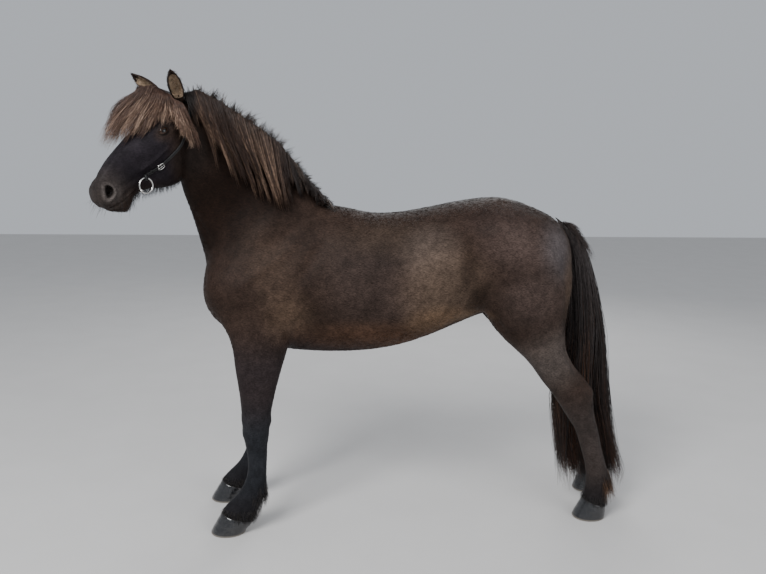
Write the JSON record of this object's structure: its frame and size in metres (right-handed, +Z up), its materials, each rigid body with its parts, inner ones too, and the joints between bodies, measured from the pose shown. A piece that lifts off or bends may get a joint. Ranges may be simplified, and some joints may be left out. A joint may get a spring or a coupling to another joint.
{
  "type": "icelandic horse",
  "caption": "Standing Icelandic horse, life size, head turned to its left, with full mane, forelock and tail, in a plain bridle without reins.",
  "frame": {"origin": "on the floor, under the middle of the bounding box", "axes": "+Z up, -X the way the horse faces, -Y its left side"},
  "size_m": [2.2292, 0.6648, 1.8831],
  "materials": {
    "coat": "short dense dark brown fur with a soft sheen",
    "face_coat": "very short brown-black fur",
    "mane_hair": "long straight red-brown hair with lighter tips",
    "tail_hair": "long wavy black-brown hair",
    "hoof": "smooth black horn",
    "eye": "wet dark brown eye",
    "strap": "narrow black leather",
    "steel": "polished stainless steel"
  },
  "bodies": {
    "root": {"neck": "coat", "torso": "coat", "forearm_fore_left": "coat", "cannon_fore_left": "coat", "hoof_fore_left": "hoof", "forearm_fore_right": "coat", "cannon_fore_right": "coat", "hoof_fore_right": "hoof", "thigh_hind_left": "coat", "cannon_hind_left": "coat", "hoof_hind_left": "hoof", "thigh_hind_right": "coat", "cannon_hind_right": "coat", "hoof_hind_right": "hoof", "head": "face_coat", "ear_left": "face_coat", "eye_left": "eye", "ear_right": "face_coat", "eye_right": "eye", "headstall": "strap", "bit_ring_left": "steel", "buckle_left": "steel", "bit_ring_right": "steel", "buckle_right": "steel", "forelock": "mane_hair", "mane": "mane_hair", "tail": "tail_hair", "feather_fore_left": "coat", "feather_fore_right": "coat", "feather_hind_left": "coat", "feather_hind_right": "coat", "beard": "face_coat"}
  },
  "joints": []
}
